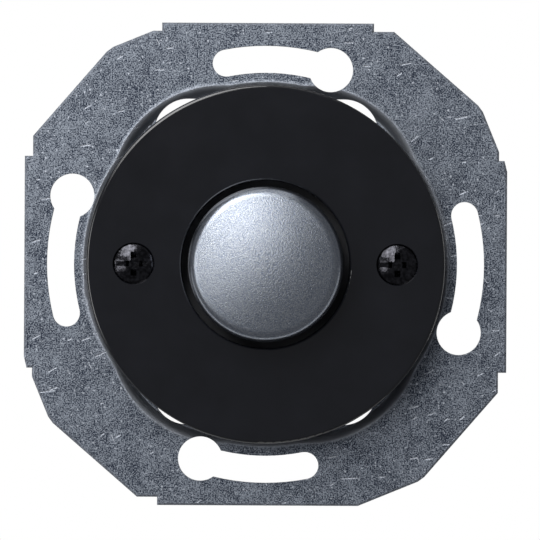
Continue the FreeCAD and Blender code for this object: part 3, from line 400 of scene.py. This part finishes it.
def satin_nickel():
    """Nickel on brass: a blasted face whose pits break up what it reflects, and a smoother shoulder.

    The pits are drawn a little coarser than real ones, so that they show.
    """
    material, tree, shader, place = new_material("satin_nickel")
    colours = bpy.context.scene.switch_colours
    blasted = bpy.context.scene.switch_button.blasted
    pits = {"Vector": place, "Scale": per_mm(0.16), "Detail": 1.0, "Roughness": 0.6}
    grit = add(tree, "TexNoise", pits)["Fac"]
    edge = (from_axis(tree, place), blasted - 0.3 * MM, blasted + 0.5 * MM, 1.0, 0.0)
    face = add(tree, "MapRange", edge)["Result"]
    light = add(tree, "MapRange", (grit, 0.35, 0.65))["Result"]
    colour = {"Factor": light, "A": colours.nickel_dark, "B": colours.nickel_light}
    share = add(tree, "MapRange", (face, 0.0, 1.0, 0.1, 1.0))["Result"]
    depth = add(tree, "Math", (grit, share), operation="MULTIPLY")[0]
    finish = {
        "Base Color": add(tree, "Mix", colour, data_type="RGBA")["Result"],
        "Roughness": add(tree, "MapRange", (face, 0.0, 1.0, 0.24, 0.45))["Result"],
        "Normal": add(tree, "Bump", {"Height": depth, "Distance": 0.065 * MM})["Normal"],
        "Metallic": 1.0,
    }
    connect(tree, shader, finish)
    return material


def mottled(name, colours, cloud, spread, gloss, texture, depth, **constants):
    """A finish whose colour and gloss drift with a noise, and that has a fine texture.

    The cloud and the texture are noises: size in millimetres, detail and roughness. Colours go from the
    first to the second over the cloud's spread. Gloss is one roughness, or the least and the most. Depth
    is the texture's, in millimetres. Constants are inputs that are the same all over.
    """
    material, tree, shader, place = new_material(name)
    drift, fine = (
        add(
            tree,
            "TexNoise",
            {"Vector": place, "Scale": per_mm(size), "Detail": detail, "Roughness": roughness},
        )["Fac"]
        for size, detail, roughness in (cloud, texture)
    )
    share = add(tree, "MapRange", (drift, *spread))["Result"]
    colour = {"Factor": share, "A": colours[0], "B": colours[1]}
    if isinstance(gloss, tuple):
        gloss = add(tree, "MapRange", (drift, 0.3, 0.7, *gloss))["Result"]
    finish = {
        "Base Color": add(tree, "Mix", colour, data_type="RGBA")["Result"],
        "Roughness": gloss,
        "Normal": add(tree, "Bump", {"Height": fine, "Distance": depth * MM})["Normal"],
        **constants,
    }
    connect(tree, shader, finish)
    return material


def black_phenolic():
    """Moulded phenolic resin: near black with a faint blue, and the gloss of a polished mould."""
    group = bpy.context.scene.switch_colours
    colours = (group.disc_dark, group.disc_light)
    cloud, texture = (7.0, 3.0, 0.6), (0.35, 2.0, 0.5)
    return mottled("black_phenolic", colours, cloud, (0.3, 0.7), (0.08, 0.12), texture, 0.001, IOR=1.6)


def black_nickelled_steel():
    """Black nickel on screw steel: near black, with hard highlights that its fine ripple breaks up."""
    group = bpy.context.scene.switch_colours
    colours = (group.screw_dark, group.screw_light)
    worn, ripple = (0.5, 2.0, 0.5), (0.35, 2.0, 0.5)
    return mottled("black_nickelled_steel", colours, worn, (0.4, 0.7), 0.16, ripple, 0.03, Metallic=1.0)


def moulded(name, dark, light, roughness):
    """A matt moulded part: an even colour with the fine texture of its mould."""
    colours = (linear(dark), linear(light))
    cloud, texture = (4.0, 3.0, 0.5), (0.25, 2.0, 0.5)
    return mottled(name, colours, cloud, (0.35, 0.7), (roughness, roughness + 0.08), texture, 0.008)


def plain_metal(name, dark, light, roughness, grain):
    """A metal whose drawing or stamping marks vary its colour and gloss a little."""
    colours = (linear(dark), linear(light))
    marks = (grain, 3.0, 0.6)
    gloss = (roughness, roughness + 0.1)
    return mottled(name, colours, marks, (0.35, 0.65), gloss, marks, 0.004, Metallic=1.0)


def base_phenolic():
    """Filled phenolic resin of the base and its cover: slate grey and matt."""
    return moulded("base_phenolic", "#43454a", "#505256", 0.5)


def natural_nylon():
    """Unpigmented nylon of the plunger: off-white, with a soft gloss."""
    return moulded("natural_nylon", "#dcd9ce", "#e6e4db", 0.42)


def cut_brass():
    """Brass bar cut for the terminals, and brass strip: yellow, with a machined gloss."""
    return plain_metal("cut_brass", "#b8934f", "#d2ae66", 0.26, 0.6)


def fine_silver():
    """Silver contact faces: nearly white, and a little tarnished."""
    return plain_metal("fine_silver", "#cbcac4", "#e6e6e2", 0.3, 0.4)


def spring_wire():
    """Drawn steel wire and spring sheet: grey, with an even gloss."""
    return plain_metal("spring_wire", "#8d9095", "#b4b6ba", 0.24, 0.5)


def zinc_plated_steel():
    """Bright zinc on the hidden screws and rivets: pale grey, with a faint blue."""
    return plain_metal("zinc_plated_steel", "#9ea4ab", "#c3c8ce", 0.3, 0.4)


FINISHES = {
    "galvanised_steel": galvanised_steel,
    "black_phenolic": black_phenolic,
    "black_steel": black_nickelled_steel,
    "satin_nickel": satin_nickel,
    "grey_phenolic": base_phenolic,
    "white_nylon": natural_nylon,
    "spring_steel": spring_wire,
    "silver": fine_silver,
    "brass": cut_brass,
    "plated_steel": zinc_plated_steel,
}
MADE = {}


def finish_of(slot):
    """The material of one of the record's slots, made once."""
    if slot not in MADE:
        MADE[slot] = FINISHES[slot]()
    return MADE[slot]


def arc(centre_r, centre_y, radius, start, end, steps):
    """Half-section points round an arc, in degrees, with 0 pointing out and 90 to the front."""
    points = []
    for step in range(steps + 1):
        angle = math.radians(start + (end - start) * step / steps)
        points.append((centre_r + radius * math.cos(angle), centre_y - radius * math.sin(angle)))
    return points


def rings(radius, y_start, y_end, gap):
    """Half-section points along a shank, no further apart than gap."""
    steps = math.ceil((y_end - y_start) / gap)
    return [(radius, y_start + (y_end - y_start) * step / steps) for step in range(steps + 1)]


def turn(points, steps):
    """A closed mesh turned about the Y axis from half-section points that start and end on it."""
    mesh = bmesh.new()
    verts = [mesh.verts.new((r, y, 0)) for r, y in points]
    edges = [mesh.edges.new(pair) for pair in zip(verts, verts[1:])]
    bmesh.ops.spin(
        mesh, geom=verts + edges, cent=(0, 0, 0), axis=(0, 1, 0), angle=TURN, steps=steps, use_merge=True
    )
    bmesh.ops.remove_doubles(mesh, verts=mesh.verts, dist=SAME_POINT)
    bmesh.ops.recalc_face_normals(mesh, faces=mesh.faces)
    return mesh


def cut_thread(mesh, radius, y_start, y_end, pitch, depth):
    """Draws the rings of a shank in to a helical thread that runs out at both ends."""
    for vert in mesh.verts:
        off_shank = abs(math.hypot(vert.co.x, vert.co.z) - radius)
        if not y_start < vert.co.y < y_end or off_shank > ON_SHANK * radius:
            continue
        phase = (vert.co.y / pitch - math.atan2(vert.co.z, vert.co.x) / TURN) % 1
        run_out = min(1, (vert.co.y - y_start) / pitch, (y_end - vert.co.y) / pitch)
        share = 1 - depth / radius * abs(2 * phase - 1) * run_out
        vert.co.x *= share
        vert.co.z *= share


def cut_lines(mesh, y_limit, x_lines, z_lines):
    """Cuts the faces in front of y_limit along lines on both sides of the axis."""
    for axis, distances in ((Vector((1, 0, 0)), x_lines), (Vector((0, 0, 1)), z_lines)):
        for distance in distances:
            for side in (-1, 1):
                head = [f for f in mesh.faces if f.calc_center_median().y < y_limit]
                edges = {e for f in head for e in f.edges}
                verts = {v for f in head for v in f.verts}
                bmesh.ops.bisect_plane(
                    mesh,
                    geom=[*verts, *edges, *head],
                    plane_co=axis * distance * side,
                    plane_no=axis,
                    dist=ON_CUT,
                )


def faces_inside(mesh, y_limit, areas):
    """The front faces whose middles lie in any of the (half width, half height) rectangles."""
    found = []
    for face in mesh.faces:
        middle = face.calc_center_median()
        if middle.y < y_limit and face.normal.y < 0:
            if any(abs(middle.x) < half_w and abs(middle.z) < half_h for half_w, half_h in areas):
                found.append(face)
    return found


def press(mesh, faces, floor, arm, x_share, z_share):
    """Presses faces down to a flat floor and draws in what reaches past the arms' half width."""
    made = bmesh.ops.extrude_face_region(mesh, geom=faces)["geom"]
    for vert in (part for part in made if isinstance(part, bmesh.types.BMVert)):
        vert.co.y = floor
        for axis, share in ((0, x_share), (2, z_share)):
            past = abs(vert.co[axis]) - arm
            if past > 0:
                vert.co[axis] = math.copysign(arm + past * share, vert.co[axis])
    bmesh.ops.delete(mesh, geom=[f for f in faces if f.is_valid], context="FACES_ONLY")


def in_order(mesh):
    """Sorts a mesh's parts by place, because the operators leave them in a new order on each run."""
    for parts, place in (
        (mesh.verts, lambda vert: [round(value / ON_CUT) for value in vert.co]),
        (mesh.edges, lambda edge: sorted(vert.index for vert in edge.verts)),
        (mesh.faces, lambda face: sorted(vert.index for vert in face.verts)),
    ):
        ranks = {part: rank for rank, part in enumerate(sorted(parts, key=place))}
        parts.sort(key=ranks.get)
        parts.index_update()


def piece(name, mesh, matrix, sharp, slot, body, replaced):
    """Turns a mesh into a finished piece that stands for a packed node and rides its body."""
    bmesh.ops.transform(mesh, matrix=matrix, verts=mesh.verts)
    bmesh.ops.remove_doubles(mesh, verts=mesh.verts, dist=SAME_POINT)
    bmesh.ops.recalc_face_normals(mesh, faces=mesh.faces)
    in_order(mesh)
    data = bpy.data.meshes.new(name)
    mesh.to_mesh(data)
    mesh.free()
    data.shade_smooth()
    data.set_sharp_from_angle(angle=math.radians(sharp))
    data.materials.append(finish_of(slot))
    made = bpy.data.objects.new(name, data)
    bpy.context.scene.collection.objects.link(made)
    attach(made, body)
    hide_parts(replaced)
    return made


def middle_of(node):
    """The middle of a packed node's box."""
    low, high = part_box(node)
    return (low + high) / 2


class SWITCH_OT_finishes(bpy.types.Operator):
    """Give every packed node the finish of its material slot"""

    bl_idname = "switch.finishes"
    bl_label = "Finishes"

    def execute(self, context):
        for row in frame["record"]["subparts"]:
            node = frame["nodes"][row["node"]]
            node.data.materials.clear()
            node.data.materials.append(finish_of(row["material_slot"]))
        return {"FINISHED"}


class SWITCH_OT_button(bpy.types.Operator):
    """Turn the domed cap of the button, bored out from behind"""

    bl_idname = "switch.button"
    bl_label = "Button Cap"

    def execute(self, context):
        size = context.scene.switch_button
        low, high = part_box("button_cap")
        top, skirt, outer = low.y, high.y, high.x
        inner = outer - size.wall
        seat = skirt - size.bore
        corner_r = outer - size.shoulder
        crown_y = top + size.crown
        tilt = math.degrees(math.asin(corner_r / (size.crown - size.shoulder)))
        corner_y = crown_y - (size.crown - size.shoulder) * math.cos(math.radians(tilt))
        points = arc(0, crown_y, size.crown, 90, 90 - tilt, DOME_RINGS)
        points += arc(corner_r, corner_y, size.shoulder, 90 - tilt, 0, SHOULDER_RINGS)[1:]
        points += [(outer, skirt - size.edge), (outer - size.edge, skirt), (inner, skirt)]
        points += [(inner, seat), (0, seat)]
        mesh = turn(points, size.steps)
        piece("turned_cap", mesh, Matrix(), SHARP_CAP, "satin_nickel", "button", "button_cap")
        return {"FINISHED"}


class SWITCH_OT_cover_screws(bpy.types.Operator):
    """Make the two raised countersunk screws, with threads, slots and cross recesses"""

    bl_idname = "switch.cover_screws"
    bl_label = "Cover Screws"

    def execute(self, context):
        size = context.scene.switch_screws
        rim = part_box("cover_disc")[0].y + size.sink
        top = rim - size.dome
        ball = (size.head**2 + size.dome**2) / (2 * size.dome)
        dome_angle = math.degrees(math.asin(size.head / ball))
        slot_floor = top + size.slot_depth
        slot_end = math.sqrt(2 * ball * size.slot_depth - size.slot_depth**2)
        # The arms of the cross slope in, so they are shorter at the slot's floor than at the surface.
        arm = size.cross / 2
        slot_reach = size.reach - (size.reach - size.floor_reach) * size.slot_depth / size.cross_depth
        slot_share = (slot_reach - arm) / (size.reach - arm)
        floor_share = (size.floor_reach - arm) / (slot_reach - arm)
        cross = [(arm, size.reach), (slot_reach, arm)]
        neck = rim + size.head - size.shank
        point = size.shank / 3
        for side in SIDES:
            node = "cover_screw_" + side
            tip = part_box(node)[1].y
            points = arc(0, top + ball, ball, 90, 90 - dome_angle, RAISED_HEAD_RINGS)
            points += rings(size.shank, neck, tip - point, size.pitch / THREAD_RINGS)
            points += [(size.shank - point, tip), (0, tip)]
            mesh = turn(points, size.steps)
            cut_thread(mesh, size.shank, neck, tip - point / 2, size.pitch, size.thread)
            cut_lines(mesh, rim, (arm, slot_reach, slot_end), (arm, size.slot / 2, size.reach))
            shallow = faces_inside(mesh, rim, [*cross, (slot_end, size.slot / 2)])
            press(mesh, shallow, slot_floor, arm, 1, slot_share)
            deep = faces_inside(mesh, rim, cross)
            press(mesh, deep, top + size.cross_depth, arm, floor_share, floor_share)
            place = Matrix.Translation((middle_of(node).x, 0, 0))
            piece("raised_screw_" + side, mesh, place, SHARP_SCREW, "black_steel", "carrier", node)
        return {"FINISHED"}


class SWITCH_OT_rear_screws(bpy.types.Operator):
    """Make the two pan-head screws of the rear cover, with threads and cross recesses"""

    bl_idname = "switch.rear_screws"
    bl_label = "Rear Screws"

    def execute(self, context):
        size = context.scene.switch_cover_screws
        arm = size.cross / 2
        share = (size.floor_reach - arm) / (size.reach - arm)
        for side in SIDES:
            node = "base_cover_screw_" + side
            low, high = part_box(node)
            tip = high.y - low.y
            points = [(0, 0)]
            points += arc(size.head - size.crown, size.crown, size.crown, 90, 0, PAN_HEAD_RINGS)
            points += [(size.head, size.height)]
            points += rings(size.shank, size.height, tip - size.shank, size.pitch / THREAD_RINGS)
            points += [(0, tip)]
            mesh = turn(points, size.steps)
            cut_thread(mesh, size.shank, size.height, tip, size.pitch, size.thread)
            cut_lines(mesh, size.crown, (arm, size.reach), (arm, size.reach))
            chosen = faces_inside(mesh, size.crown, [(arm, size.reach), (size.reach, arm)])
            press(mesh, chosen, size.cross_depth, arm, share, share)
            place = Matrix.Translation((middle_of(node).x, high.y, 0)) @ Matrix.Rotation(math.pi, 4, "Z")
            piece("rear_screw_" + side, mesh, place, SHARP_SCREW, "plated_steel", "carrier", node)
        return {"FINISHED"}


def coil(coil_radius, wire, turns, y_start, y_end, steps, sides):
    """A compression spring along Y with closed ends, from a circle of wire spun in stages."""
    mesh = bmesh.new()
    closing = wire * CLOSED_PITCH
    climb = (y_end - y_start - wire - 2 * closing) / turns
    upright = Matrix.Translation((coil_radius, y_start + wire / 2, 0))
    ring = bmesh.ops.create_circle(mesh, segments=sides, radius=wire / 2, matrix=upright)["verts"]
    geometry = [*ring, *{e for v in ring for e in v.link_edges}]
    first = list(geometry)
    stages = ((0.5, 0.0), (0.5, 2 * closing), (turns, climb), (0.5, 2 * closing), (0.5, 0.0))
    for share, rise_each_turn in stages:
        parts = round(steps * share)
        made = bmesh.ops.spin(
            mesh,
            geom=geometry,
            cent=(0, 0, 0),
            axis=(0, 1, 0),
            dvec=(0, rise_each_turn * share / parts, 0),
            angle=-TURN * share,
            steps=parts,
        )
        geometry = made["geom_last"]
    for end in (first, geometry):
        bmesh.ops.contextual_create(mesh, geom=[g for g in end if isinstance(g, bmesh.types.BMEdge)])
    return mesh


class SWITCH_OT_springs(bpy.types.Operator):
    """Wind the return spring and the contact spring, which in the real switch shorten as the button
    moves
    """

    bl_idname = "switch.springs"
    bl_label = "Springs"

    def execute(self, context):
        size = context.scene.switch_springs
        rows = (
            ("return_spring", size.return_wire, size.return_turns, "carrier", "button_travel"),
            ("contact_spring", size.contact_wire, size.contact_turns, "bridge", "bridge_lag"),
        )
        for node, wire, turns, body, joint in rows:
            low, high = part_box(node)
            mesh = coil(high.x - wire / 2, wire, turns, low.y, high.y, size.steps, size.sides)
            made = piece("wound_" + node, mesh, Matrix(), SHARP_WIRE, "spring_steel", body, node)
            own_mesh(made)
        return {"FINISHED"}


def stage_material(name, colour, share_white):
    """A pale matt paper, lifted towards white where the camera, metal or glass sees it."""
    material, tree, shader, _ = new_material(name)
    connect(tree, shader, {"Base Color": colour, "Roughness": 0.9})
    path = add(tree, "LightPath")
    seen = path["Is Camera Ray"]
    for ray in ("Is Glossy Ray", "Is Transmission Ray"):
        seen = add(tree, "Math", (seen, path[ray]), operation="MAXIMUM")[0]
    white = add(tree, "Emission", {"Color": WHITE, "Strength": 1.0})["Emission"]
    share = add(tree, "Math", (seen, share_white), operation="MULTIPLY")[0]
    lifted = add(tree, "MixShader", (share, shader.outputs["BSDF"], white))["Shader"]
    surface = next(n for n in tree.nodes if n.type == "OUTPUT_MATERIAL")
    connect(tree, surface, {"Surface": lifted})
    return material


def stage_sheet(name, width, depth, place, material):
    """A flat rectangle of the stage."""
    sheet = bmesh.new()
    bmesh.ops.create_grid(sheet, x_segments=1, y_segments=1, size=0.5)
    bmesh.ops.scale(sheet, vec=(width, depth, 1), verts=sheet.verts)
    bmesh.ops.transform(sheet, matrix=place, verts=sheet.verts)
    data = bpy.data.meshes.new(name)
    sheet.to_mesh(data)
    sheet.free()
    data.materials.append(material)
    made = bpy.data.objects.new(name, data)
    bpy.context.scene.collection.objects.link(made)
    return made


def softbox(name, clock, aside, size, radiance):
    """A square studio lamp that faces the switch, set by how bright its face looks.

    It stands aside degrees off the switch's axis, toward clock degrees up from its right.
    """
    lamp = bpy.data.lights.new(name, "AREA")
    lamp.shape = "SQUARE"
    lamp.size = size
    lamp.energy = radiance * math.pi * size**2
    made = bpy.data.objects.new(name, lamp)
    clock, aside = math.radians(clock), math.radians(aside)
    across = math.sin(aside)
    toward = Vector((across * math.cos(clock), -math.cos(aside), across * math.sin(clock)))
    made.location = toward * LAMP_DISTANCE
    made.rotation_euler = (-toward).to_track_quat("-Z", "Y").to_euler()
    bpy.context.scene.collection.objects.link(made)
    return made


def room(scene, radiance):
    """Gives the scene a dim, even room that the camera sees as white."""
    world = bpy.data.worlds.new("studio")
    world.use_nodes = True
    tree = world.node_tree
    grey = next(n for n in tree.nodes if n.type == "BACKGROUND")
    dim = [radiance * share for share in ROOM_TINT] + [1]
    seen = {"Factor": add(tree, "LightPath")["Is Camera Ray"], "A": dim, "B": WHITE}
    connect(tree, grey, {"Color": add(tree, "Mix", seen, data_type="RGBA")["Result"]})
    scene.world = world


def camera(scene, studio):
    """Looks straight at the plate with a long lens."""
    lens = bpy.data.cameras.new("camera")
    lens.lens = lens.sensor_width * studio.distance / studio.view_width
    made = bpy.data.objects.new("camera", lens)
    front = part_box("carrier_plate")[0].y
    made.location = (studio.centre[0], front - studio.distance, studio.centre[1])
    facing = Matrix.Rotation(math.pi / 2, 4, "X") @ Matrix.Rotation(studio.roll, 4, "Z")
    made.rotation_euler = facing.to_euler()
    scene.collection.objects.link(made)
    scene.camera = made


class SWITCH_OT_stage(bpy.types.Operator):
    """Set the floor, the backdrop, the lamps and the camera"""

    bl_idname = "switch.stage"
    bl_label = "Stage"

    def execute(self, context):
        scene = context.scene
        studio = scene.switch_studio
        scene.view_settings.view_transform = "Standard"
        floor = stage_material("pale_floor", studio.paper, 0.5)
        flat = Matrix.Translation((0, studio.room_depth / 2, -studio.drop))
        stage_sheet("floor", FLOOR_WIDTH, studio.room_depth, flat, floor)
        backdrop = stage_material("white_backdrop", studio.paper, 1.0)
        upright = Matrix.Translation((0, studio.room_depth, 0)) @ Matrix.Rotation(math.pi / 2, 4, "X")
        stage_sheet("backdrop", BACKDROP_WIDTH, BACKDROP_HEIGHT, upright, backdrop)
        for name, (clock, aside, size) in LAMPS.items():
            softbox(name, clock, aside, size, getattr(studio, name))
        room(scene, studio.world)
        camera(scene, studio)
        return {"FINISHED"}


GROUPS = {
    "switch_colours": SwitchColours,
    "switch_button": SwitchButton,
    "switch_screws": SwitchScrews,
    "switch_cover_screws": SwitchCoverScrews,
    "switch_springs": SwitchSprings,
    "switch_studio": SwitchStudio,
}
OPERATORS = (
    SWITCH_OT_finishes,
    SWITCH_OT_button,
    SWITCH_OT_cover_screws,
    SWITCH_OT_rear_screws,
    SWITCH_OT_springs,
    SWITCH_OT_stage,
)


class SWITCH_PT_panel(bpy.types.Panel):
    """The sizes and colours of the fine parts, and the steps that make them"""

    bl_idname = "SWITCH_PT_panel"
    bl_label = "Push Button"
    bl_space_type = "VIEW_3D"
    bl_region_type = "UI"
    bl_category = "Push Button"

    def draw(self, context):
        for name, group in GROUPS.items():
            box = self.layout.box()
            box.label(text=group.__doc__)
            for size in group.__annotations__:
                box.prop(getattr(context.scene, name), size)
        for operator in OPERATORS:
            self.layout.operator(operator.bl_idname)


CLASSES = (*GROUPS.values(), *OPERATORS, SWITCH_PT_panel)


def register():
    for made in CLASSES:
        bpy.utils.register_class(made)
    for name, group in GROUPS.items():
        setattr(bpy.types.Scene, name, PointerProperty(type=group))


def unregister():
    for name in GROUPS:
        delattr(bpy.types.Scene, name)
    for made in reversed(CLASSES):
        bpy.utils.unregister_class(made)


def main():
    register()
    for operator in OPERATORS:
        group, name = operator.bl_idname.split(".")
        getattr(getattr(bpy.ops, group), name)()


if __name__ == "__main__":
    main()
